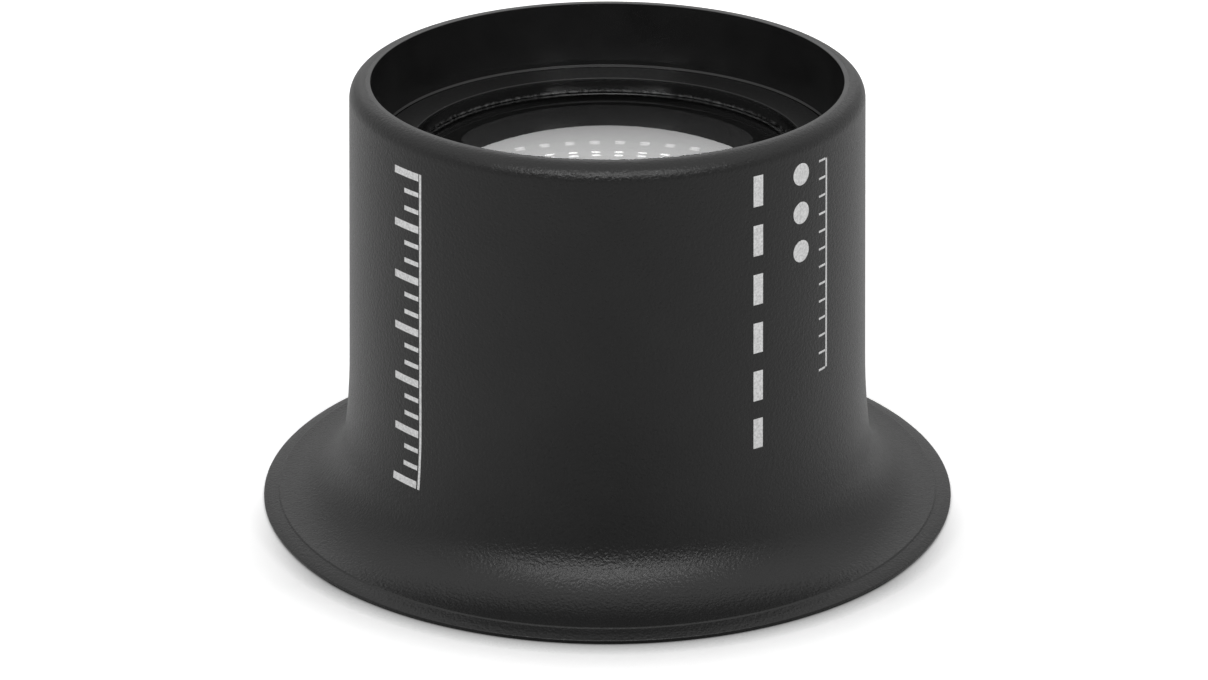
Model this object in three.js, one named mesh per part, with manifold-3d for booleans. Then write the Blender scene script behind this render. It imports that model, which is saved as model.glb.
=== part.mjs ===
// Jeweler's loupe, 3x, single lens: a moulded barrel and eye cup, a plano-convex lens, and the threaded
// ring that holds the lens against its seat.
// Millimetres, +Z up. The origin is the centre of the eye cup's rim plane, and +Z is the optical axis,
// from the wearer's eye towards the work.
import * as THREE from 'three';
import { mergeVertices } from 'three/addons/utils/BufferGeometryUtils.js';
import Module from 'manifold-3d';

const wasm = await Module();
wasm.setup();

// ---- Driving dimensions -------------------------------------------------------------------------

const FACETS = 64; // sides of every revolved surface, and steps in one turn of the thread

// Eye cup, outside
const CUP_RADIUS = 20;
const LAND_OUTER_RADIUS = 19.7; // flat ring that the loupe stands on
const LAND_INNER_RADIUS = 17.6;
const LIP_EDGE_HEIGHT = 0.06;
const LIP_TOP_HEIGHT = 0.5; // where the sweep rolls over into the lip
const LIP_ROLL_RADIUS = 5;
const SWEEP_RADIUS = 3.92; // concave sweep from the barrel out to the lip
const SWEEP_END_SLOPE = 8; // degrees from the axis, where the sweep meets the barrel's foot
const FOOT_RADIUS = 15.2;
const FOOT_TOP_HEIGHT = 8.5;

// Eye cup and barrel, inside
const BELL_HEIGHT = 6;
const BELL_NECK_RADIUS = 13.35;
const WALL_TOP_HEIGHT = 16.6;
const WALL_TOP_RADIUS = 12.7;

// Barrel and rim
const DRAFT = 1.45; // degrees, outside of the barrel
const HEIGHT = 25.13;
const RIM_ROUND = 0.95;
const RIM_INNER_RADIUS = 13.22;
const BORE_RADIUS = 12.9; // lead-in bore just above the thread
const BORE_TAPER_HEIGHT = 21.3; // top of its straight stretch
const BORE_CHAMFER_RADIUS = 13; // top of the chamfer that leads the ring into its bore
const BORE_CHAMFER_HEIGHT = 21.4;
const THREAD_TOP_HEIGHT = 20.95;
const THREAD_BOTTOM_HEIGHT = 19.9;

// Lens seat
const SEAT_HEIGHT = 18.65;
const SEAT_APERTURE_RADIUS = 10.9;
const SEAT_LIP_HEIGHT = 1.05; // straight part of the aperture's wall
const POCKET_RADIUS = 12.56;

// Lens: crown glass, flat side towards the eye, focal length about 84 mm
const LENS_RADIUS = 12.5;
const LENS_CURVE_RADIUS = 44;
const LENS_THICKNESS = 3.1;
const LENS_EDGE_BREAK = 0.15;

// Retaining ring
const RING_OUTER_RADIUS = 12.84;
const RING_TOP_HEIGHT = 21.3; // at its outer edge: the top face is dished
const RING_DISH = 0.06;
const RING_APERTURE_RADIUS = 11.07;
const RING_NOSE_RADIUS = 10.95; // innermost edge, next to the glass
const RING_NOSE_BEVEL = 0.05; // width of the bevel over that edge, which is twice as tall
const RING_BAND_HEIGHT = 21.03; // underside of the plain band above the thread
const RING_SEAT_RADIUS = 12.3; // outer end of the cone that faces the glass
const RING_LENS_GAP = 0.03;

// Thread between ring and housing: right hand, 60 degree form
const PITCH = 0.5;
const RIDGE_ROOT_RADIUS = 12.56; // ring, between its ridges
const RIDGE_CREST_RADIUS = 12.82;
const RIDGE_CREST_HALF_WIDTH = 0.04;
const RIDGE_START = 0.04; // the thread starts this far above the ring's underside
const GROOVE_MOUTH_RADIUS = 12.62; // housing, at the crests of its thread
const GROOVE_ROOT_RADIUS = 12.88;
const FLANK_PLAY = 0.046; // axial, on each flank
const FLANK_SLOPE = Math.tan(THREE.MathUtils.degToRad(30));
const THREAD_SINK = 0.1; // how far a ridge reaches into its ring, and a cutter out of its bore

// ---- Outlines: lists of [radius, height] points --------------------------------------------------

function arc(centreRadius, centreHeight, radius, fromDegrees, toDegrees, steps) {
  const points = [];
  for (let i = 0; i <= steps; i += 1) {
    const angle = THREE.MathUtils.degToRad(fromDegrees + ((toDegrees - fromDegrees) * i) / steps);
    points.push([centreRadius + radius * Math.cos(angle), centreHeight + radius * Math.sin(angle)]);
  }
  return points;
}

// Circular arc of the given radius between two points, bulging to the right of the way it runs.
function arcBetween(start, end, radius, steps) {
  const chordRadius = end[0] - start[0];
  const chordHeight = end[1] - start[1];
  const chord = Math.hypot(chordRadius, chordHeight);
  const toCentre = Math.sqrt(radius * radius - (chord * chord) / 4);
  const centreRadius = (start[0] + end[0]) / 2 - (toCentre * chordHeight) / chord;
  const centreHeight = (start[1] + end[1]) / 2 + (toCentre * chordRadius) / chord;
  const from = Math.atan2(start[1] - centreHeight, start[0] - centreRadius);
  const turn = 2 * Math.asin(chord / (2 * radius));
  const fromDegrees = THREE.MathUtils.radToDeg(from);
  const toDegrees = fromDegrees + THREE.MathUtils.radToDeg(turn);
  return arc(centreRadius, centreHeight, radius, fromDegrees, toDegrees, steps);
}

const lensSurfaceHeight = (radius) =>
  LENS_THICKNESS - LENS_CURVE_RADIUS + Math.sqrt(LENS_CURVE_RADIUS ** 2 - radius ** 2);

function housingOutside() {
  const slope = THREE.MathUtils.degToRad(SWEEP_END_SLOPE);
  const draft = THREE.MathUtils.degToRad(DRAFT);
  const sweepRadius = FOOT_RADIUS + SWEEP_RADIUS * Math.cos(slope);
  const sweepHeight = LIP_TOP_HEIGHT + SWEEP_RADIUS;
  const footHeight = sweepHeight - SWEEP_RADIUS * Math.sin(slope);
  const footCurve = (FOOT_TOP_HEIGHT - footHeight) / (Math.sin(slope) - Math.sin(draft));
  const footCentreRadius = FOOT_RADIUS + footCurve * Math.cos(slope);
  const footCentreHeight = footHeight + footCurve * Math.sin(slope);
  const barrelRadius = footCentreRadius - footCurve * Math.cos(draft);
  const rimCentreHeight = HEIGHT - RIM_ROUND;
  const rimRadius = barrelRadius - Math.tan(draft) * (rimCentreHeight - FOOT_TOP_HEIGHT);
  return [
    [LAND_INNER_RADIUS, 0],
    [LAND_OUTER_RADIUS, 0],
    ...arcBetween([CUP_RADIUS, LIP_EDGE_HEIGHT], [sweepRadius, LIP_TOP_HEIGHT], LIP_ROLL_RADIUS, 3),
    ...arc(sweepRadius, sweepHeight, SWEEP_RADIUS, 270, 180 + SWEEP_END_SLOPE, 8).slice(1),
    ...arc(footCentreRadius, footCentreHeight, footCurve, 180 + SWEEP_END_SLOPE, 180 + DRAFT, 3).slice(1),
    ...arc(rimRadius - RIM_ROUND, rimCentreHeight, RIM_ROUND, 0, 90, 5),
  ];
}

function housingInside() {
  const bellRun = LAND_INNER_RADIUS - BELL_NECK_RADIUS;
  const bellRadius = (bellRun ** 2 + BELL_HEIGHT ** 2) / (2 * bellRun);
  const bellEnd = 180 + THREE.MathUtils.radToDeg(Math.asin(BELL_HEIGHT / bellRadius));
  return [
    [RIM_INNER_RADIUS, HEIGHT],
    [BORE_CHAMFER_RADIUS, BORE_CHAMFER_HEIGHT],
    [BORE_RADIUS, BORE_TAPER_HEIGHT],
    [BORE_RADIUS, THREAD_TOP_HEIGHT],
    [GROOVE_MOUTH_RADIUS, THREAD_TOP_HEIGHT],
    [GROOVE_MOUTH_RADIUS, THREAD_BOTTOM_HEIGHT],
    [POCKET_RADIUS, THREAD_BOTTOM_HEIGHT - (GROOVE_MOUTH_RADIUS - POCKET_RADIUS)],
    [POCKET_RADIUS, SEAT_HEIGHT],
    [SEAT_APERTURE_RADIUS, SEAT_HEIGHT],
    [SEAT_APERTURE_RADIUS, SEAT_HEIGHT - SEAT_LIP_HEIGHT],
    [WALL_TOP_RADIUS, WALL_TOP_HEIGHT],
    ...arc(BELL_NECK_RADIUS + bellRadius, BELL_HEIGHT, bellRadius, 180, bellEnd, 5).slice(0, -1),
  ];
}

function lensOutline() {
  const curveSteps = 8;
  const edgeTop = lensSurfaceHeight(LENS_RADIUS - LENS_EDGE_BREAK);
  const outline = [
    [0, 0],
    [LENS_RADIUS - LENS_EDGE_BREAK, 0],
    [LENS_RADIUS, LENS_EDGE_BREAK],
    [LENS_RADIUS, edgeTop - LENS_EDGE_BREAK],
  ];
  for (let i = curveSteps; i > 0; i -= 1) {
    const radius = ((LENS_RADIUS - LENS_EDGE_BREAK) * i) / curveSteps;
    outline.push([radius, lensSurfaceHeight(radius)]);
  }
  return [...outline, [0, LENS_THICKNESS]];
}

function ringOutline() {
  const glassClearance = (radius) => SEAT_HEIGHT + lensSurfaceHeight(radius) + RING_LENS_GAP;
  return [
    [RING_NOSE_RADIUS, glassClearance(RING_NOSE_RADIUS)],
    [RING_SEAT_RADIUS, glassClearance(RING_SEAT_RADIUS)],
    [RIDGE_ROOT_RADIUS, glassClearance(RING_SEAT_RADIUS)],
    [RIDGE_ROOT_RADIUS, RING_BAND_HEIGHT],
    [RING_OUTER_RADIUS, RING_BAND_HEIGHT],
    [RING_OUTER_RADIUS, RING_TOP_HEIGHT],
    [RING_APERTURE_RADIUS, RING_TOP_HEIGHT - RING_DISH],
    [RING_NOSE_RADIUS + RING_NOSE_BEVEL, glassClearance(RING_NOSE_RADIUS) + 2 * RING_NOSE_BEVEL],
  ];
}

// ---- Solids --------------------------------------------------------------------------------------

// Turns an outline about the optical axis. An outline that stays off the axis is closed on itself.
function revolve(outline) {
  const points = outline.map(([radius, height]) => new THREE.Vector2(radius, height));
  if (outline[0][0] > 0) points.push(points[0].clone());
  return new THREE.LatheGeometry(points, FACETS).rotateX(Math.PI / 2);
}

function toManifold(geometry) {
  geometry.deleteAttribute('normal');
  geometry.deleteAttribute('uv');
  const merged = mergeVertices(geometry);
  const vertProperties = Float32Array.from(merged.attributes.position.array);
  const triVerts = Uint32Array.from(merged.index.array);
  return new wasm.Manifold(new wasm.Mesh({ numProp: 3, vertProperties, triVerts }));
}

function toGeometry(solid) {
  const mesh = solid.getMesh();
  const geometry = new THREE.BufferGeometry();
  geometry.setAttribute('position', new THREE.BufferAttribute(Float32Array.from(mesh.vertProperties), 3));
  geometry.setIndex(new THREE.BufferAttribute(Uint32Array.from(mesh.triVerts), 1));
  geometry.computeVertexNormals();
  return geometry;
}

// Sweeps a closed section along a right-hand helix about the optical axis. The section's points are
// [radius, axial offset], anticlockwise, and its middle passes through height zero at angle zero.
function helix(section, fromHeight, toHeight) {
  const firstStep = Math.floor((fromHeight / PITCH) * FACETS);
  const lastStep = Math.ceil((toHeight / PITCH) * FACETS);
  const positions = [];
  const triangles = [];
  const corners = section.length;
  for (let step = firstStep; step <= lastStep; step += 1) {
    const angle = (2 * Math.PI * step) / FACETS;
    const middle = (PITCH * step) / FACETS;
    for (const [radius, offset] of section) {
      positions.push(radius * Math.cos(angle), radius * Math.sin(angle), middle + offset);
    }
  }
  for (let step = 0; step < lastStep - firstStep; step += 1) {
    for (let corner = 0; corner < corners; corner += 1) {
      const a = step * corners + corner;
      const b = step * corners + ((corner + 1) % corners);
      triangles.push(a, a + corners, b, b, a + corners, b + corners);
    }
  }
  const last = (lastStep - firstStep) * corners;
  for (let corner = 1; corner < corners - 1; corner += 1) {
    triangles.push(0, corner, corner + 1);
    triangles.push(last, last + corner + 1, last + corner);
  }
  const geometry = new THREE.BufferGeometry();
  geometry.setAttribute('position', new THREE.Float32BufferAttribute(positions, 3));
  geometry.setIndex(triangles);
  return toManifold(geometry);
}

// A flat-sided sleeve between two radii and two heights, used to trim the ends of a thread.
function sleeve(innerRadius, outerRadius, bottom, top) {
  const outline = [
    [innerRadius, bottom],
    [outerRadius, bottom],
    [outerRadius, top],
    [innerRadius, top],
  ];
  return toManifold(revolve(outline));
}

// Half the thickness of a ridge on the ring at a given radius.
const ridgeHalfWidth = (radius) => RIDGE_CREST_HALF_WIDTH + (RIDGE_CREST_RADIUS - radius) * FLANK_SLOPE;

function ringThread(bottom, top) {
  const rootHalfWidth = ridgeHalfWidth(RIDGE_ROOT_RADIUS);
  const section = [
    [RIDGE_ROOT_RADIUS - THREAD_SINK, -rootHalfWidth],
    [RIDGE_ROOT_RADIUS, -rootHalfWidth],
    [RIDGE_CREST_RADIUS, -RIDGE_CREST_HALF_WIDTH],
    [RIDGE_CREST_RADIUS, RIDGE_CREST_HALF_WIDTH],
    [RIDGE_ROOT_RADIUS, rootHalfWidth],
    [RIDGE_ROOT_RADIUS - THREAD_SINK, rootHalfWidth],
  ];
  const ridge = helix(section, bottom - PITCH, top + PITCH);
  return ridge.intersect(sleeve(RIDGE_ROOT_RADIUS - 2 * THREAD_SINK, CUP_RADIUS, bottom, top));
}

function housingThread(bottom, top) {
  const mouthHalfWidth = ridgeHalfWidth(GROOVE_MOUTH_RADIUS) + FLANK_PLAY;
  const rootHalfWidth = ridgeHalfWidth(GROOVE_ROOT_RADIUS) + FLANK_PLAY;
  const section = [
    [GROOVE_MOUTH_RADIUS - THREAD_SINK, -mouthHalfWidth],
    [GROOVE_MOUTH_RADIUS, -mouthHalfWidth],
    [GROOVE_ROOT_RADIUS, -rootHalfWidth],
    [GROOVE_ROOT_RADIUS, rootHalfWidth],
    [GROOVE_MOUTH_RADIUS, mouthHalfWidth],
    [GROOVE_MOUTH_RADIUS - THREAD_SINK, mouthHalfWidth],
  ];
  const groove = helix(section, bottom - PITCH, top + PITCH);
  return groove.intersect(sleeve(GROOVE_MOUTH_RADIUS - 2 * THREAD_SINK, CUP_RADIUS, bottom, top));
}

// ---- Pieces --------------------------------------------------------------------------------------

function makeHousing() {
  const blank = toManifold(revolve([...housingOutside(), ...housingInside()]));
  const solid = blank.subtract(housingThread(THREAD_BOTTOM_HEIGHT, BORE_TAPER_HEIGHT));
  const material = new THREE.MeshStandardMaterial({ color: 0x1b1b1b, roughness: 0.5, metalness: 0 });
  return new THREE.Mesh(toGeometry(solid), material);
}

function makeLens() {
  const material = new THREE.MeshStandardMaterial({
    color: 0xf2f6f5,
    roughness: 0.02,
    metalness: 0,
    transparent: true,
    opacity: 0.35,
  });
  const mesh = new THREE.Mesh(revolve(lensOutline()), material);
  mesh.position.z = SEAT_HEIGHT;
  return mesh;
}

function makeRetainingRing() {
  const outline = ringOutline();
  const undersideHeight = outline[1][1];
  const thread = ringThread(undersideHeight + RIDGE_START, RING_BAND_HEIGHT + RIDGE_START);
  const solid = toManifold(revolve(outline)).add(thread);
  const material = new THREE.MeshStandardMaterial({ color: 0x1f1f1f, roughness: 0.4, metalness: 0 });
  return new THREE.Mesh(toGeometry(solid), material);
}

const loupe = new THREE.Group();
const pieces = {
  housing: makeHousing(),
  lens: makeLens(),
  retaining_ring: makeRetainingRing(),
};
for (const [name, piece] of Object.entries(pieces)) {
  piece.name = name;
  loupe.add(piece);
}

export default loupe;
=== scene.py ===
"""Looks of a single-lens 3x jeweler's loupe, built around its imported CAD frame.

The loupe's own lengths are in millimetres and become metres when a mesh is made. The studio and the
camera are in metres. Heights are above the eye cup's rim plane, and the optical axis is +Z. Azimuths are
degrees from the front (-Y) towards the right (+X).
"""

import math

import bmesh
import bpy
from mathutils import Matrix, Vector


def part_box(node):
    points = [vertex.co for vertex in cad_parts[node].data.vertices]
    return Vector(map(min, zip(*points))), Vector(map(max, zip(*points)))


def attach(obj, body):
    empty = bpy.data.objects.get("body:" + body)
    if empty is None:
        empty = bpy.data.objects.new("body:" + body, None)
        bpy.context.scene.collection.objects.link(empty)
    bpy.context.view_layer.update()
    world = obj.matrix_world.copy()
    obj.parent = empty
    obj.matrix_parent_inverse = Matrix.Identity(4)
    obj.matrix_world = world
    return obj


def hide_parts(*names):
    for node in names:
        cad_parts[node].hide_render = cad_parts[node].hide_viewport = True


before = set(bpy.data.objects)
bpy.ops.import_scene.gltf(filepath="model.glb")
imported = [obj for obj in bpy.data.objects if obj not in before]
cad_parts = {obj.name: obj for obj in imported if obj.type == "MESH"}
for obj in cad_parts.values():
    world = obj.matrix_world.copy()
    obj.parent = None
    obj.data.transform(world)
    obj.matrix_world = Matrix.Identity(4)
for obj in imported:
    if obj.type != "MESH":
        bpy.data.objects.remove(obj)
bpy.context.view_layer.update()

MM = 0.001
TURN = 2 * math.pi


def top_of(node):
    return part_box(node)[1].z / MM


def bottom_of(node):
    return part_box(node)[0].z / MM


def radius_of(node):
    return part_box(node)[1].x / MM


# ---- Driving dimensions ---------------------------------------------------------------------------

CUP_RADIUS = radius_of("housing")
HEIGHT = top_of("housing")
LAND_INNER_RADIUS = 17.6
LIP_TOP_HEIGHT = 0.5
LIP_EDGE_TOP = 0.18  # top of the lip's upright edge, before it is rounded
LIP_ROLL_WIDTH = 0.5  # from the lip's crest out to where the roll steepens
LIP_ROLL_DROP = 0.17
LIP_CREST_RISE = 0.005  # the crest, and then the foot of the sweep, lie a little above the lip's top
SWEEP_FOOT_RISE = 0.01
PARTING_STEP = 0.065  # the mould's parting line is a small step down along the lip's crest
PARTING_WIDTH = 0.08
SWEEP_RADIUS = 3.92
SWEEP_END_SLOPE = 8
FOOT_RADIUS = 15.2
FOOT_TOP_HEIGHT = 8.5
DRAFT = 1.45
RIM_ROUND = 0.95
RIM_INNER_RADIUS = 13.22
RIM_EDGE_ROUND = 0.06
BORE_RADIUS = 12.9
BORE_CHAMFER_RADIUS = 13.0
BORE_CHAMFER_HEIGHT = 21.4
BORE_TAPER_HEIGHT = 21.3
THREAD_TOP_HEIGHT = 20.95
THREAD_BOTTOM_HEIGHT = 19.9
POCKET_RADIUS = 12.56
SEAT_HEIGHT = bottom_of("lens")
SEAT_APERTURE_RADIUS = 10.9
SEAT_LIP_HEIGHT = 1.05
SEAT_GAP = 0.02  # keeps the glass clear of the seat, so that the two faces never coincide
WALL_TOP_HEIGHT = 16.6
WALL_TOP_RADIUS = 12.7
BELL_HEIGHT = 6
BELL_NECK_RADIUS = 13.35

LENS_RADIUS = radius_of("lens")
LENS_THICKNESS = top_of("lens") - SEAT_HEIGHT
LENS_CURVE_RADIUS = 44
LENS_EDGE_BREAK = 0.15
DUST_LINE_RADIUS = 10.45  # dust lies on the glass outside this
DUST_LINE_WIDTH = 0.2
DUST_LINE_HEIGHT = 0.2  # and up the ring's inner wall to this, from a little above the glass
DUST_LINE_FOOT = 0.05

RING_OUTER_RADIUS = radius_of("retaining_ring")
RING_TOP_HEIGHT = top_of("retaining_ring")
RING_DISH = 0.06
RING_APERTURE_RADIUS = 11.07
RING_NOSE_RADIUS = 10.95
RING_NOSE_BEVEL = 0.05
RING_BAND_HEIGHT = 21.03
RING_SEAT_RADIUS = 12.3
RING_LENS_GAP = 0.03
RING_EDGE_ROUND = 0.07

PITCH = 0.5
RIDGE_ROOT_RADIUS = 12.56
RIDGE_CREST_RADIUS = 12.82
RIDGE_CREST_HALF_WIDTH = 0.04
RIDGE_START = 0.04
GROOVE_MOUTH_RADIUS = 12.62
GROOVE_ROOT_RADIUS = 12.88
FLANK_PLAY = 0.046
FLANK_SLOPE = math.tan(math.radians(30))
THREAD_ROW = 0.03  # height between two rows of the thread's mesh

SEGMENTS = 256  # round the axis
FILLET_STEPS = 5


# ---- Outlines -------------------------------------------------------------------------------------
# An outline is a list of (radius, height) points, or of (radius function of azimuth angle, height).


def arc(centre_radius, centre_height, radius, from_degrees, to_degrees, steps):
    points = []
    for i in range(steps + 1):
        angle = math.radians(from_degrees + (to_degrees - from_degrees) * i / steps)
        points.append((centre_radius + radius * math.cos(angle), centre_height + radius * math.sin(angle)))
    return points


def rounded(points, radii):
    """The polyline with a fillet of the given radius at each inner point."""
    out = [points[0]]
    for before, corner, after, radius in zip(points, points[1:], points[2:], radii):
        into = (before[0] - corner[0], before[1] - corner[1])
        away = (after[0] - corner[0], after[1] - corner[1])
        into_length = math.hypot(*into)
        away_length = math.hypot(*away)
        into = (into[0] / into_length, into[1] / into_length)
        away = (away[0] / away_length, away[1] / away_length)
        half = math.acos(max(-1.0, min(1.0, into[0] * away[0] + into[1] * away[1]))) / 2
        trim = min(radius / math.tan(half), 0.48 * into_length, 0.48 * away_length)
        start = (corner[0] + into[0] * trim, corner[1] + into[1] * trim)
        end = (corner[0] + away[0] * trim, corner[1] + away[1] * trim)
        for i in range(FILLET_STEPS + 1):
            t = i / FILLET_STEPS
            # a quadratic curve with the corner as its control point stands in for the fillet
            a, b, c = (1 - t) ** 2, 2 * t * (1 - t), t**2
            out.append(
                (a * start[0] + b * corner[0] + c * end[0], a * start[1] + b * corner[1] + c * end[1])
            )
    out.append(points[-1])
    return out


def split(start, end, steps):
    """Points from start to end, without start."""
    return [
        (start[0] + (end[0] - start[0]) * i / steps, start[1] + (end[1] - start[1]) * i / steps)
        for i in range(1, steps + 1)
    ]


def ridge_half_width(radius):
    return RIDGE_CREST_HALF_WIDTH + (RIDGE_CREST_RADIUS - radius) * FLANK_SLOPE


def helix_offset(height, angle):
    """Height above the nearest turn of the right-hand helix that passes height 0 at angle 0."""
    rise = height - PITCH * angle / TURN
    return (rise + PITCH / 2) % PITCH - PITCH / 2


def groove_radius(height):
    def radius(angle):
        reach = ridge_half_width(GROOVE_MOUTH_RADIUS) + FLANK_PLAY - abs(helix_offset(height, angle))
        return min(GROOVE_ROOT_RADIUS, GROOVE_MOUTH_RADIUS + max(0.0, reach / FLANK_SLOPE))

    return radius


def ridge_radius(height):
    def radius(angle):
        reach = ridge_half_width(RIDGE_ROOT_RADIUS) - abs(helix_offset(height, angle))
        return min(RIDGE_CREST_RADIUS, RIDGE_ROOT_RADIUS + max(0.0, reach / FLANK_SLOPE))

    return radius


def thread_rows(profile, from_height, to_height):
    steps = round(abs(to_height - from_height) / THREAD_ROW)
    heights = [from_height + (to_height - from_height) * i / steps for i in range(steps + 1)]
    return [(profile(height), height) for height in heights]


def lens_surface(radius):
    return LENS_THICKNESS - LENS_CURVE_RADIUS + math.sqrt(LENS_CURVE_RADIUS**2 - radius**2)


def above_glass(radius):
    """Height of the ring's underside over the lens's dome."""
    return SEAT_HEIGHT + lens_surface(radius) + RING_LENS_GAP


def housing_outside():
    """From the land's inner edge, out round the lip and up the barrel to the rim's inner edge."""
    slope = math.radians(SWEEP_END_SLOPE)
    draft = math.radians(DRAFT)
    sweep_radius = FOOT_RADIUS + SWEEP_RADIUS * math.cos(slope)
    sweep_height = LIP_TOP_HEIGHT + SWEEP_RADIUS
    foot_height = sweep_height - SWEEP_RADIUS * math.sin(slope)
    foot_curve = (FOOT_TOP_HEIGHT - foot_height) / (math.sin(slope) - math.sin(draft))
    foot_centre = (FOOT_RADIUS + foot_curve * math.cos(slope), foot_height + foot_curve * math.sin(slope))
    barrel_radius = foot_centre[0] - foot_curve * math.cos(draft)
    rim_height = HEIGHT - RIM_ROUND
    rim_radius = barrel_radius - math.tan(draft) * (rim_height - FOOT_TOP_HEIGHT)
    lip = rounded(
        [
            (LAND_INNER_RADIUS, 0),
            (CUP_RADIUS, 0),
            (CUP_RADIUS, LIP_EDGE_TOP),
            (sweep_radius + LIP_ROLL_WIDTH, LIP_TOP_HEIGHT - LIP_ROLL_DROP),
            (sweep_radius + PARTING_WIDTH, LIP_TOP_HEIGHT + LIP_CREST_RISE - PARTING_STEP),
            (sweep_radius, LIP_TOP_HEIGHT + LIP_CREST_RISE),
            (sweep_radius - 3 * PARTING_WIDTH, LIP_TOP_HEIGHT + SWEEP_FOOT_RISE),
        ],
        [0.1, 0.07, 1.4, 0.05, 0.1],
    )
    sweep = arc(sweep_radius, sweep_height, SWEEP_RADIUS, 265, 180 + SWEEP_END_SLOPE, 28)
    foot = arc(foot_centre[0], foot_centre[1], foot_curve, 180 + SWEEP_END_SLOPE, 180 + DRAFT, 8)[1:]
    barrel = split(foot[-1], (rim_radius, rim_height), 10)
    rim = arc(rim_radius - RIM_ROUND, rim_height, RIM_ROUND, 0, 90, 16)[1:]
    return lip[:-1] + sweep + foot + barrel + rim


def housing_bore():
    """From the rim's inner edge down the bore, with its thread, to the lens seat's aperture."""
    mouth = rounded(
        [
            (RIM_INNER_RADIUS + RIM_EDGE_ROUND, HEIGHT),
            (RIM_INNER_RADIUS, HEIGHT),
            (BORE_CHAMFER_RADIUS, BORE_CHAMFER_HEIGHT),
            (BORE_RADIUS, BORE_TAPER_HEIGHT),
            (BORE_RADIUS, THREAD_TOP_HEIGHT),
        ],
        [RIM_EDGE_ROUND, 0.04, 0.04],
    )
    pocket = [
        (POCKET_RADIUS, THREAD_BOTTOM_HEIGHT - (GROOVE_MOUTH_RADIUS - POCKET_RADIUS)),
        (POCKET_RADIUS, SEAT_HEIGHT - SEAT_GAP),
        (SEAT_APERTURE_RADIUS, SEAT_HEIGHT - SEAT_GAP),
    ]
    return mouth[1:] + thread_rows(groove_radius, THREAD_TOP_HEIGHT, THREAD_BOTTOM_HEIGHT) + pocket


def housing_inside():
    """From the seat's aperture down the inner wall and the bell to the land's inner edge."""
    bell_run = LAND_INNER_RADIUS - BELL_NECK_RADIUS
    bell_radius = (bell_run**2 + BELL_HEIGHT**2) / (2 * bell_run)
    bell_end = 180 + math.degrees(math.asin(BELL_HEIGHT / bell_radius))
    throat = rounded(
        [
            (SEAT_APERTURE_RADIUS, SEAT_HEIGHT - SEAT_GAP),
            (SEAT_APERTURE_RADIUS, SEAT_HEIGHT - SEAT_LIP_HEIGHT),
            (WALL_TOP_RADIUS, WALL_TOP_HEIGHT),
            (BELL_NECK_RADIUS, BELL_HEIGHT),
        ],
        [0.1, 0.4],
    )
    bell = arc(BELL_NECK_RADIUS + bell_radius, BELL_HEIGHT, bell_radius, 180, bell_end, 20)
    return throat[1:] + bell[1:]


def ring_sections():
    """The ring's outline in two runs: the moulded faces, then the threaded side."""
    underside = above_glass(RING_SEAT_RADIUS)
    faces = rounded(
        [
            (RIDGE_ROOT_RADIUS, RING_BAND_HEIGHT),
            (RING_OUTER_RADIUS, RING_BAND_HEIGHT),
            (RING_OUTER_RADIUS, RING_TOP_HEIGHT),
            (RING_APERTURE_RADIUS, RING_TOP_HEIGHT - RING_DISH),
            (RING_NOSE_RADIUS + RING_NOSE_BEVEL, above_glass(RING_NOSE_RADIUS) + 2 * RING_NOSE_BEVEL),
            (RING_NOSE_RADIUS, above_glass(RING_NOSE_RADIUS)),
            (RING_SEAT_RADIUS, underside),
            (RIDGE_ROOT_RADIUS, underside),
        ],
        [0.02, RING_EDGE_ROUND, RING_EDGE_ROUND, 0.05, 0.03, 0.1],
    )
    thread = thread_rows(ridge_radius, underside + RIDGE_START, RING_BAND_HEIGHT)
    return faces, thread


# ---- Mesh code ------------------------------------------------------------------------------------


def make_object(name, bm, materials, smooth_angle=32):
    bmesh.ops.recalc_face_normals(bm, faces=bm.faces)
    mesh = bpy.data.meshes.new(name)
    bm.to_mesh(mesh)
    bm.free()
    for material in materials:
        mesh.materials.append(material)
    mesh.polygons.foreach_set("use_smooth", [True] * len(mesh.polygons))
    mesh.set_sharp_from_angle(angle=math.radians(smooth_angle))
    obj = bpy.data.objects.new(name, mesh)
    bpy.context.scene.collection.objects.link(obj)
    return obj


def revolve(name, sections, materials, smooth_angle=32):
    """Turns an outline into a closed solid. sections is [(points, material index), ...]; a radius may be
    a function of the angle. An outline off the axis closes on itself."""
    bm = bmesh.new()
    rows = []
    slots = []
    for points, slot in sections:
        for radius, height in points:
            if callable(radius):
                values = [radius(TURN * i / SEGMENTS) for i in range(SEGMENTS)]
            elif radius == 0:
                values = None
            else:
                values = [radius] * SEGMENTS
            if values is None:
                rows.append([bm.verts.new((0, 0, height * MM))])
            else:
                row = []
                for i, value in enumerate(values):
                    angle = TURN * i / SEGMENTS
                    x = value * math.cos(angle) * MM
                    y = value * math.sin(angle) * MM
                    row.append(bm.verts.new((x, y, height * MM)))
                rows.append(row)
            slots.append(slot)
    closed = len(rows[0]) > 1
    pairs = list(zip(rows, rows[1:], slots[1:]))
    if closed:
        pairs.append((rows[-1], rows[0], slots[0]))
    for lower, upper, slot in pairs:
        for i in range(SEGMENTS):
            k = (i + 1) % SEGMENTS
            corners = [lower[i % len(lower)], lower[k % len(lower)]]
            corners += [upper[k % len(upper)], upper[i % len(upper)]]
            face = bm.faces.new(list(dict.fromkeys(corners)))
            face.material_index = slot
    return make_object(name, bm, materials, smooth_angle)


# ---- Materials ------------------------------------------------------------------------------------


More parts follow.
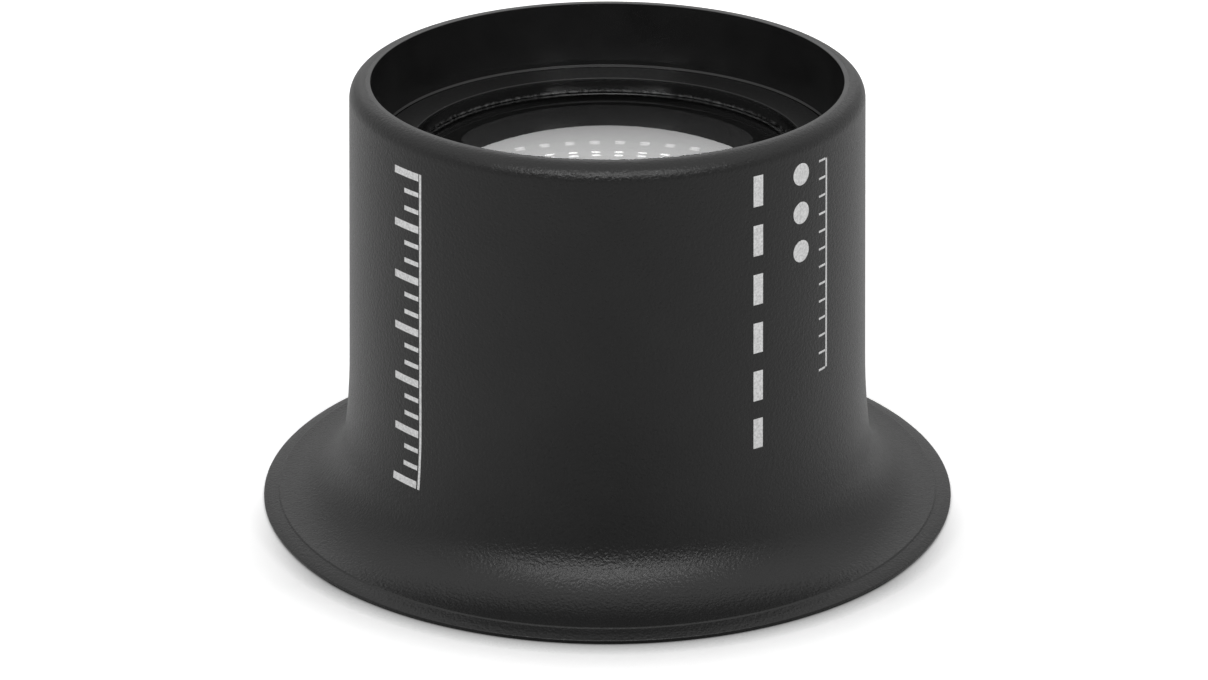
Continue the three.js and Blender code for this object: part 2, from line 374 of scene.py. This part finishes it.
class Nodes:
    """A node tree under construction, for a material or the world."""

    def __init__(self, owner, output="ShaderNodeOutputMaterial", place="Object"):
        owner.use_nodes = True
        self.owner = owner
        self.tree = owner.node_tree
        self.tree.nodes.clear()
        self.output = self.tree.nodes.new(output)
        self.place = self.tree.nodes.new("ShaderNodeTexCoord").outputs[place]

    def add(self, kind, **values):
        node = self.tree.nodes.new(kind)
        for key, value in values.items():
            if hasattr(node, key):
                setattr(node, key, value)
            else:
                self.set(node.inputs[key.replace("_", " ")], value)
        return node

    def set(self, socket, value):
        if isinstance(value, bpy.types.NodeSocket):
            self.tree.links.new(value, socket)
        else:
            socket.default_value = value

    def noise(self, size_mm, detail=2.0, rough=0.5):
        node = self.add("ShaderNodeTexNoise", Vector=self.place, Scale=1 / (size_mm * MM), Detail=detail)
        node.inputs["Roughness"].default_value = rough
        return node.outputs["Fac"]

    def cells(self, size_mm, feature="SMOOTH_F1"):
        node = self.add("ShaderNodeTexVoronoi", feature=feature, Vector=self.place, Scale=1 / (size_mm * MM))
        return node.outputs["Distance"]

    def spread(self, value, from_low, from_high, to_low, to_high):
        node = self.add("ShaderNodeMapRange")
        for key, setting in (
            ("Value", value),
            ("From Min", from_low),
            ("From Max", from_high),
            ("To Min", to_low),
            ("To Max", to_high),
        ):
            self.set(node.inputs[key], setting)
        return node.outputs["Result"]

    def math(self, operation, a, b=0.0):
        node = self.add("ShaderNodeMath", operation=operation)
        self.set(node.inputs[0], a)
        self.set(node.inputs[1], b)
        return node.outputs[0]

    def grey(self, value):
        node = self.add("ShaderNodeCombineColor")
        for channel in ("Red", "Green", "Blue"):
            self.set(node.inputs[channel], value)
        return node.outputs["Color"]

    def bump(self, height, depth_mm):
        node = self.add("ShaderNodeBump")
        self.set(node.inputs["Height"], height)
        self.set(node.inputs["Distance"], depth_mm * MM)
        self.set(node.inputs["Strength"], 1.0)
        return node.outputs["Normal"]

    def principled(self, **values):
        node = self.tree.nodes.new("ShaderNodeBsdfPrincipled")
        for key, value in values.items():
            self.set(node.inputs[key.replace("_", " ")], value)
        self.tree.links.new(node.outputs["BSDF"], self.output.inputs["Surface"])

    def mix(self, factor, first, second):
        """Blends two shaders: first where factor is 0, second where it is 1."""
        node = self.tree.nodes.new("ShaderNodeMixShader")
        self.set(node.inputs["Fac"], factor)
        self.tree.links.new(first, node.inputs[1])
        self.tree.links.new(second, node.inputs[2])
        return node.outputs["Shader"]

    def radius(self):
        """Distance from the optical axis, in metres."""
        place = self.add("ShaderNodeSeparateXYZ", Vector=self.place)
        across = self.math("POWER", place.outputs["X"], 2.0)
        along = self.math("POWER", place.outputs["Y"], 2.0)
        return self.math("SQRT", self.math("ADD", across, along))

    def ray_is(self, kind):
        return self.add("ShaderNodeLightPath").outputs[kind]

    def finish(self, shader):
        self.tree.links.new(shader, self.output.inputs["Surface"])
        return self.owner


def new_material(name):
    return Nodes(bpy.data.materials.new(name))


def grained_plastic():
    """Black moulded plastic with a fine spark-eroded grain."""
    n = new_material("grained_black_plastic")
    pebbles = n.cells(0.17)
    fine = n.noise(0.11, 3.0, 0.6)
    height = n.math("ADD", n.math("MULTIPLY", pebbles, 0.55), n.math("MULTIPLY", fine, 0.75))
    n.principled(
        Base_Color=n.grey(n.spread(n.noise(3.5, 3.0), 0.3, 0.7, 0.005, 0.007)),
        Sheen_Weight=0.06,
        Sheen_Roughness=0.5,
        Roughness=n.spread(fine, 0.3, 0.7, 0.26, 0.36),
        IOR=1.5,
        Normal=n.bump(height, 0.034),
    )
    return n.owner


def inside_plastic(name, shade, roughness):
    """The smooth inside of the moulding, with faint flow marks."""
    n = new_material(name)
    n.principled(
        Base_Color=n.grey(n.spread(n.noise(2.0), 0.3, 0.7, 0.8 * shade, 1.2 * shade)),
        Roughness=n.spread(n.noise(1.6, 3.0), 0.3, 0.7, roughness, roughness + 0.06),
        IOR=1.5,
        Normal=n.bump(n.noise(0.5, 2.0), 0.004),
    )
    return n.owner


def ring_plastic():
    """Satin black ring with a few specks of dust, smooth on its inner wall, where dust has gathered along
    the glass. The inner wall's darker base colour is painted shade in the ring's well."""
    n = new_material("satin_black_ring")
    radius = n.radius()
    face = n.spread(radius, (RING_APERTURE_RADIUS - 0.03) * MM, RING_APERTURE_RADIUS * MM, 0.0, 1.0)
    specks = n.math("MULTIPLY", n.spread(n.cells(0.4, "F1"), 0.05, 0.12, 1.0, 0.0), face)
    specks = n.math("MULTIPLY", specks, n.spread(n.noise(2.4, 2.0), 0.5, 0.6, 0.0, 0.1))
    foot = above_glass(RING_NOSE_RADIUS) * MM
    height = n.add("ShaderNodeSeparateXYZ", Vector=n.place).outputs["Z"]
    dust = n.spread(height, foot + DUST_LINE_FOOT * MM, foot + DUST_LINE_HEIGHT * MM, 1.0, 0.0)
    dust = n.math("MULTIPLY", dust, n.math("SUBTRACT", 1.0, face))
    dust = n.math("MULTIPLY", dust, n.spread(n.noise(0.3, 3.0, 0.7), 0.45, 0.65, 0.0, 0.08))
    # painted shade: the inner wall gets a darker base colour than the face
    bare = n.spread(face, 0.0, 1.0, 0.004, 0.009)
    n.principled(
        Base_Color=n.grey(n.math("ADD", n.math("ADD", specks, dust), bare)),
        Roughness=n.spread(face, 0.0, 1.0, 0.16, n.spread(n.noise(0.3, 3.0), 0.3, 0.7, 0.32, 0.4)),
        IOR=1.5,
        Normal=n.bump(n.noise(0.16, 2.0), 0.004),
    )
    return n.owner


def glass(name, reflection, behind, dust):
    """Crown glass. Its Fresnel reflection is scaled by reflection, and the light from behind it by behind,
    a function of the node tree. dust is None or a function that gives the share covered by dust."""
    n = new_material(name)
    bend = n.add("ShaderNodeBsdfRefraction", IOR=1.523, Roughness=0.0)
    n.set(bend.inputs["Color"], n.grey(behind(n)))
    shine = n.add("ShaderNodeBsdfGlossy", Roughness=0.0).outputs["BSDF"]
    fresnel = n.add("ShaderNodeFresnel", IOR=1.523).outputs["Fac"]
    surface = n.mix(n.math("MULTIPLY", fresnel, reflection), bend.outputs["BSDF"], shine)
    if dust is not None:
        powder = n.add("ShaderNodeBsdfDiffuse")
        n.set(powder.inputs["Color"], n.grey(0.5))
        surface = n.mix(dust(n), surface, powder.outputs["BSDF"])
    clear = n.add("ShaderNodeBsdfTransparent").outputs["BSDF"]
    return n.finish(n.mix(n.ray_is("Is Shadow Ray"), surface, clear))


def polished_glass():
    """The domed front, with dust gathered in a broken line where it meets the ring."""

    def dust(n):
        start = DUST_LINE_RADIUS * MM
        line = n.spread(n.radius(), start, start + DUST_LINE_WIDTH * MM, 0.0, 1.0)
        return n.math("MULTIPLY", line, n.spread(n.noise(0.35, 3.0, 0.7), 0.45, 0.65, 0.0, 0.12))

    return glass("polished_crown_glass", 1.0, lambda n: 0.99, dust)


def back_glass():
    """The flat back, bloomed so that it reflects less than bare glass. Seen aslant, only the black inside
    lies behind it, so there the light through it is darkened as painted shade, and its own reflection is all
    that shows."""

    def behind(n):
        facing = n.math("SUBTRACT", 1.0, n.add("ShaderNodeLayerWeight", Blend=0.5).outputs["Facing"])
        # painted shade: the light through the back is darkened when seen aslant, standing in for the black
        # inside
        return n.spread(facing, 0.88, 0.97, 0.05, 0.98)

    return glass("bloomed_glass_back", 0.42, behind, None)


def ground_glass():
    """The lens's ground edge, blackened as on a good loupe."""
    n = new_material("ground_glass_edge")
    n.principled(
        Base_Color=n.grey(n.spread(n.noise(0.2, 3.0), 0.3, 0.7, 0.01, 0.03)),
        Roughness=0.6,
        IOR=1.523,
        Normal=n.bump(n.noise(0.08, 2.0), 0.01),
    )
    return n.owner


def print_ink():
    """Light grey pad print, slightly thin in places over the grain."""
    n = new_material("grey_pad_print")
    n.principled(
        Base_Color=n.grey(n.spread(n.noise(0.14, 3.0, 0.6), 0.3, 0.62, 0.6, 0.88)),
        Roughness=0.55,
        IOR=1.45,
        Normal=n.bump(n.cells(0.2), 0.012),
    )
    return n.owner


# ---- Pieces ---------------------------------------------------------------------------------------


def make_housing():
    sections = [(housing_outside(), 0), (housing_bore(), 1), (housing_inside(), 2)]
    bore = inside_plastic("smooth_black_bore", 0.0095, 0.2)
    # the inside's base colour is darker than the bore's: painted shade deep inside, under the lens
    inside = inside_plastic("dull_black_inside", 0.003, 0.4)
    obj = revolve("housing_moulding", sections, [grained_plastic(), bore, inside])
    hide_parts("housing")
    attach(obj, "housing")
    return obj


def make_ring():
    faces, thread = ring_sections()
    obj = revolve("retaining_ring_turned", [(faces, 0), (thread, 0)], [ring_plastic()])
    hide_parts("retaining_ring")
    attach(obj, "ring")
    return obj


def make_lens():
    edge = LENS_RADIUS - LENS_EDGE_BREAK
    front_rings = 40
    back_rings = 12
    back = [(edge * i / back_rings, SEAT_HEIGHT) for i in range(back_rings + 1)]
    side = [
        (LENS_RADIUS, SEAT_HEIGHT + LENS_EDGE_BREAK),
        (LENS_RADIUS, SEAT_HEIGHT + lens_surface(edge) - LENS_EDGE_BREAK),
        (edge, SEAT_HEIGHT + lens_surface(edge)),
    ]
    front_radii = [edge * i / front_rings for i in range(front_rings - 1, -1, -1)]
    front = [(radius, SEAT_HEIGHT + lens_surface(radius)) for radius in front_radii]
    sections = [(back, 0), (side, 1), (front, 2)]
    materials = [back_glass(), ground_glass(), polished_glass()]
    obj = revolve("lens_polished", sections, materials, smooth_angle=20)
    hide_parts("lens")
    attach(obj, "lens")
    return obj


# ---- Printed marks --------------------------------------------------------------------------------

INK_THICKNESS = 0.012
INK_DEPTH = 0.03  # how far the ink's closed mesh reaches under the plastic's surface
INK_CELL_WIDTH = 0.4  # the largest face in an ink mesh
INK_CELL_LENGTH = 0.6


def barrel_radius_at(height):
    outline = housing_outside()
    for lower, upper in zip(outline, outline[1:]):
        if lower[1] <= height <= upper[1] and lower[0] < FOOT_RADIUS + 1:
            t = (height - lower[1]) / (upper[1] - lower[1])
            return lower[0] + (upper[0] - lower[0]) * t
    raise ValueError("height is off the barrel")


def on_barrel(azimuth, height, lift):
    radius = barrel_radius_at(height) + lift
    angle = math.radians(azimuth)
    return (radius * math.sin(angle) * MM, -radius * math.cos(angle) * MM, height * MM)


def ink_skin(bm, points, faces):
    """A closed thin skin on the barrel. points are (azimuth, height); faces hold indexes of points."""
    top = [bm.verts.new(on_barrel(azimuth, height, INK_THICKNESS)) for azimuth, height in points]
    base = [bm.verts.new(on_barrel(azimuth, height, -INK_DEPTH)) for azimuth, height in points]
    edges = set()
    for face in faces:
        bm.faces.new([top[i] for i in face])
        bm.faces.new([base[i] for i in reversed(face)])
        edges.update(zip(face, face[1:] + face[:1]))
    for start, end in sorted(edges):
        if (end, start) not in edges:
            bm.faces.new((top[start], base[start], base[end], top[end]))


def ink_bar(bm, azimuth, height, width, length):
    """A bar centred on (azimuth, height): width is round the barrel, length along it, both in mm."""
    half = math.degrees(width / 2 / barrel_radius_at(height))
    across = max(1, math.ceil(width / INK_CELL_WIDTH))
    along = max(1, math.ceil(length / INK_CELL_LENGTH))
    points = []
    for i in range(along + 1):
        for j in range(across + 1):
            points.append((azimuth + half * (2 * j / across - 1), height + length * (i / along - 0.5)))
    faces = []
    for i in range(along):
        for j in range(across):
            corner = i * (across + 1) + j
            faces.append((corner, corner + 1, corner + across + 2, corner + across + 1))
    ink_skin(bm, points, faces)


def ink_dot(bm, azimuth, height, radius):
    per_mm = math.degrees(1 / barrel_radius_at(height))
    steps = 32
    rings = 3
    points = [(azimuth, height)]
    for ring in range(1, rings + 1):
        for i in range(steps):
            angle = TURN * i / steps
            reach = radius * ring / rings
            points.append((azimuth + reach * math.cos(angle) * per_mm, height + reach * math.sin(angle)))
    faces = []
    for i in range(steps):
        k = (i + 1) % steps
        faces.append((0, 1 + i, 1 + k))
        for ring in range(1, rings):
            inner = 1 + (ring - 1) * steps
            outer = inner + steps
            faces.append((inner + i, outer + i, outer + k, inner + k))
    ink_skin(bm, points, faces)


def make_prints():
    """Plain printed marks in the places where such a loupe carries its lettering: a graduated scale, a row
    of dashes, three dots for the power of three, and a fine line."""
    ink = print_ink()
    layouts = {
        "print_scale": scale_marks,
        "print_dashes": dash_marks,
        "print_power_dots": power_marks,
        "print_fine_line": fine_line_marks,
    }
    for name, draw in layouts.items():
        bm = bmesh.new()
        draw(bm)
        obj = make_object(name, bm, [ink])
        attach(obj, "housing")


def scale_marks(bm):
    """A ruler: every third bar is wide and thick, and a thin spine joins them."""
    bottom, top, azimuth = 5.0, 23.0, -48.4
    wide, narrow = 2.0, 1.15
    thick, thin = 0.42, 0.26
    count = 19
    for i in range(count):
        height = bottom + (top - bottom) * i / (count - 1)
        width = wide if i % 3 == 0 else narrow
        shift = math.degrees((wide - width) / 2 / barrel_radius_at(height))
        ink_bar(bm, azimuth + shift, height, width, thick if i % 3 == 0 else thin)
    spine = azimuth + math.degrees((wide / 2 + 0.2) / FOOT_RADIUS)
    ink_bar(bm, spine, (bottom + top) / 2, 0.16, top - bottom + thick)


def dash_marks(bm):
    bottom, top, azimuth, width = 8.9, 22.9, 33.7, 0.62
    count = 6
    pitch = (top - bottom) / (count - 1)
    length = 0.62 * pitch
    for i in range(count):
        ink_bar(bm, azimuth, bottom + pitch * i, width, length)


def power_marks(bm):
    azimuth, middle, pitch, radius = 46.0, 20.9, 2.2, 0.62
    for i in (-1, 0, 1):
        ink_dot(bm, azimuth, middle + pitch * i, radius)


def fine_line_marks(bm):
    bottom, top, azimuth, width = 11.2, 23.4, 54.9, 0.14
    tick_azimuth, tick_width, tick_thickness = azimuth - 1.6, 0.6, 0.12
    ink_bar(bm, azimuth, (bottom + top) / 2, width, top - bottom)
    count = 13
    for i in range(count):
        height = bottom + (top - bottom) * i / (count - 1)
        ink_bar(bm, tick_azimuth, height, tick_width, tick_thickness)


# ---- Studio ---------------------------------------------------------------------------------------
# Everything here is in metres.

FLOOR_FRONT = 0.5  # how pale the loupe sees the floor straight in front, and to the sides; the darker front is painted shade
FLOOR_SIDE = 0.66
FLOOR_NEAR = 0.3  # share of that which is left close in front of the loupe, under a painted contact shadow
FLOOR_NEAR_RADIUS = 0.022
FLOOR_FAR_RADIUS = 0.036
FLOOR_NEAR_SHIFT = 0.016  # how much closer to the axis the painted shadow's near zone lies at the sides
FLOOR_SHOWN = 1.6  # the camera sees the floor brighter than the loupe does, as paper white
FLOOR_RADIUS = 3.0
FLOOR_DROP = 0.00002  # keeps the floor clear of the eye cup's rim
SHADOW_REACH = 0.012  # how far away the loupe still shades the floor
SHADOW_POWER = 3.0  # higher is darker
SHADOW_WHOLE_Y = -0.013  # the contact shadow is whole in front of this, and fades behind it
SHADOW_FADED_Y = 0.001
SHADOW_BEHIND = 0.1  # share of it that is left there
TOUCH_SHADE = 0.55  # extra shade where the lip meets the floor
TOUCH_WIDTH = 0.0013
PANEL_DISTANCE = 0.6
PANEL_LOW = 0.12
PANEL_HIGH = 0.42
PANEL_HALF_WIDTH = 0.34
PANEL_DIM_BELOW = 0.2
PANEL_FULL_ABOVE = 0.36
LAMP_SPACING = 0.0213
LAMP_RADIUS = 0.0046
LAMP_COUNT = 10
LAMP_GAP = 0.004  # how far the lamps stand in front of the panel
LAMP_ROWS = {  # for each pair of rows: their two heights, and how brightly their lamps glow
    "lamps_bright": (0.331, 0.3476, 9.5),
    "lamps_faint": (0.279, 0.288, 5.2),
}
PANEL_GLOW = (1.7, 4.75)  # low down and high up, in a mirror reflection
PANEL_LEVEL_SHARE = 0.4  # share of its half width where the panel's lower edge is level
PANEL_CORNER_LIFT = 0.03  # how far that edge then rises to the corners
BLURRED_GLOW = 0.8  # of the panel and the lamps, in any other reflection
ROOM_LEVEL = 0.53  # the room's light on the loupe, and what is added to it in some directions
ROOM_OVERHEAD = 0.55
ROOM_SIDES = 0.1
ROOM_LOW_FRONT = -0.45
ROOM_BACK = -0.14
ROOM_SHOWN = 1.05  # what the camera sees


def stage_mesh(name, bm, material, unseen=False):
    """unseen hides a mesh from the camera, also through the glass. It still glows and is still mirrored."""
    obj = make_object(name, bm, [material])
    obj.visible_camera = not unseen
    obj.visible_transmission = not unseen


def make_floor():
    """Paper white with a painted contact shadow to the camera, and to the loupe a greyer floor with painted
    shade, darker in front and darkest close in front of the loupe.
    """
    n = new_material("pale_floor")
    place = n.add("ShaderNodeSeparateXYZ", Vector=n.place)
    # the camera's floor colour holds a painted contact shadow, taken from ambient occlusion
    open_sky = n.add("ShaderNodeAmbientOcclusion", Distance=SHADOW_REACH, samples=8).outputs["AO"]
    fade = n.spread(place.outputs["Y"], SHADOW_WHOLE_Y, SHADOW_FADED_Y, 1.0, SHADOW_BEHIND)
    touch = n.spread(n.radius(), CUP_RADIUS * MM, CUP_RADIUS * MM + TOUCH_WIDTH, TOUCH_SHADE, 1.0)
    lit = n.math("MULTIPLY", n.math("POWER", open_sky, SHADOW_POWER), touch)
    hidden = n.math("MULTIPLY", n.math("SUBTRACT", 1.0, lit), fade)
    lit = n.math("SUBTRACT", 1.0, hidden)
    shown = n.add("ShaderNodeBsdfDiffuse")
    n.set(shown.inputs["Color"], n.grey(n.math("MULTIPLY", lit, FLOOR_SHOWN)))
    # the loupe's floor colour holds painted shade: darker in front, and a painted contact shadow close in
    # front of the loupe
    felt = n.add("ShaderNodeBsdfDiffuse")
    aside = n.math("DIVIDE", n.math("ABSOLUTE", place.outputs["X"]), n.radius())
    pale = n.spread(aside, 0.0, 0.9, FLOOR_FRONT, FLOOR_SIDE)
    reach = n.math("ADD", n.radius(), n.math("MULTIPLY", aside, FLOOR_NEAR_SHIFT))
    near = n.spread(reach, FLOOR_NEAR_RADIUS, FLOOR_FAR_RADIUS, FLOOR_NEAR, 1.0)
    n.set(felt.inputs["Color"], n.grey(n.math("MULTIPLY", pale, near)))
    n.finish(n.mix(n.ray_is("Is Camera Ray"), felt.outputs["BSDF"], shown.outputs["BSDF"]))
    bm = bmesh.new()
    bmesh.ops.create_circle(bm, cap_ends=True, segments=64, radius=FLOOR_RADIUS)
    for vert in bm.verts:
        vert.co.z = -FLOOR_DROP
    stage_mesh("floor", bm, n.owner)


def glow(name, low, high):
    """Light that a mirror-smooth surface sees grow from low to high with its height above the floor, and
    that any other surface sees at one weaker strength."""
    n = new_material(name)
    height = n.add("ShaderNodeSeparateXYZ", Vector=n.place).outputs["Z"]
    sharp = n.add("ShaderNodeEmission")
    n.set(sharp.inputs["Strength"], n.spread(height, PANEL_DIM_BELOW, PANEL_FULL_ABOVE, low, high))
    blurred = n.add("ShaderNodeEmission")
    n.set(blurred.inputs["Strength"], BLURRED_GLOW)
    mirrored = n.ray_is("Is Singular Ray")
    return n.finish(n.mix(mirrored, blurred.outputs["Emission"], sharp.outputs["Emission"]))


def make_lamp_panel():
    """A glowing panel behind the loupe with rows of small lamps: what the lens mirrors."""
    bm = bmesh.new()
    corner = PANEL_LOW + PANEL_CORNER_LIFT
    outline = [(-1, corner), (-PANEL_LEVEL_SHARE, PANEL_LOW), (PANEL_LEVEL_SHARE, PANEL_LOW), (1, corner)]
    outline += [(1, PANEL_HIGH), (-1, PANEL_HIGH)]
    bm.faces.new([bm.verts.new((side * PANEL_HALF_WIDTH, PANEL_DISTANCE, z)) for side, z in outline])
    stage_mesh("lamp_panel", bm, glow("panel_glow", *PANEL_GLOW), unseen=True)
    for name, (lower, upper, strength) in LAMP_ROWS.items():
        bm = bmesh.new()
        for height in (lower, upper):
            for i in range(-LAMP_COUNT // 2, LAMP_COUNT // 2):
                circle = bmesh.ops.create_circle(bm, cap_ends=True, segments=16, radius=LAMP_RADIUS)
                for vert in circle["verts"]:
                    x, y, _ = vert.co
                    vert.co = (x + (i + 0.5) * LAMP_SPACING, PANEL_DISTANCE - LAMP_GAP, y + height)
        stage_mesh(name, bm, glow(name + "_glow", strength, strength), unseen=True)


def make_softbox():
    """One softbox in front and above, aimed at the loupe: the highlight on the flare and the rim."""
    distance = 0.5
    elevation = math.radians(41.5)
    size = (0.6, 0.065)
    radiance = 8.2
    light = bpy.data.lights.new("front_softbox", "AREA")
    light.shape = "RECTANGLE"
    light.size, light.size_y = size
    light.energy = radiance * math.pi * size[0] * size[1]
    obj = bpy.data.objects.new("front_softbox", light)
    bpy.context.scene.collection.objects.link(obj)
    obj.location = (0, -distance * math.cos(elevation), distance * math.sin(elevation))
    obj.rotation_euler = (math.pi / 2 - elevation, 0, 0)


def make_world():
    """A pale room: paper white to the camera, and to the loupe a soft light that grows overhead and to the
    sides, and is dimmer low in front and behind."""
    n = Nodes(bpy.data.worlds.new("studio"), "ShaderNodeOutputWorld", "Generated")
    direction = n.add("ShaderNodeSeparateXYZ", Vector=n.place)
    up = n.spread(direction.outputs["Z"], 0.35, 0.85, 0.0, ROOM_OVERHEAD)
    side = n.math("MULTIPLY", n.math("ABSOLUTE", direction.outputs["X"]), ROOM_SIDES)
    front = n.spread(direction.outputs["Y"], -0.9, -0.3, ROOM_LOW_FRONT, 0.0)
    front = n.math("MULTIPLY", front, n.spread(direction.outputs["Z"], 0.35, 0.6, 1.0, 0.0))
    back = n.spread(direction.outputs["Y"], 0.0, 1.0, 0.0, ROOM_BACK)
    shape = n.math("ADD", n.math("ADD", up, side), n.math("ADD", front, back))
    room = n.add("ShaderNodeBackground")
    n.set(room.inputs["Strength"], n.math("ADD", shape, ROOM_LEVEL))
    white = n.add("ShaderNodeBackground")
    n.set(white.inputs["Color"], n.grey(1.0))
    n.set(white.inputs["Strength"], ROOM_SHOWN)
    n.finish(n.mix(n.ray_is("Is Camera Ray"), room.outputs["Background"], white.outputs["Background"]))
    bpy.context.scene.world = n.owner


def make_camera():
    """A long lens, level with the left-right axis, looking down at the loupe's middle."""
    distance = 0.2162
    elevation = math.radians(23.135)
    aim_height = 0.009155
    focal_length = 112.05
    camera = bpy.data.cameras.new("camera")
    camera.sensor_width = 36
    camera.lens = focal_length
    camera.shift_x = -0.0028
    camera.clip_start = 0.01
    obj = bpy.data.objects.new("camera", camera)
    bpy.context.scene.collection.objects.link(obj)
    obj.location = (0, -distance * math.cos(elevation), aim_height + distance * math.sin(elevation))
    obj.rotation_euler = (math.pi / 2 - elevation, 0, 0)
    bpy.context.scene.camera = obj


make_housing()
make_ring()
make_lens()
make_prints()
make_floor()
make_lamp_panel()
make_softbox()
make_world()
make_camera()
bpy.context.scene.view_settings.view_transform = "Standard"
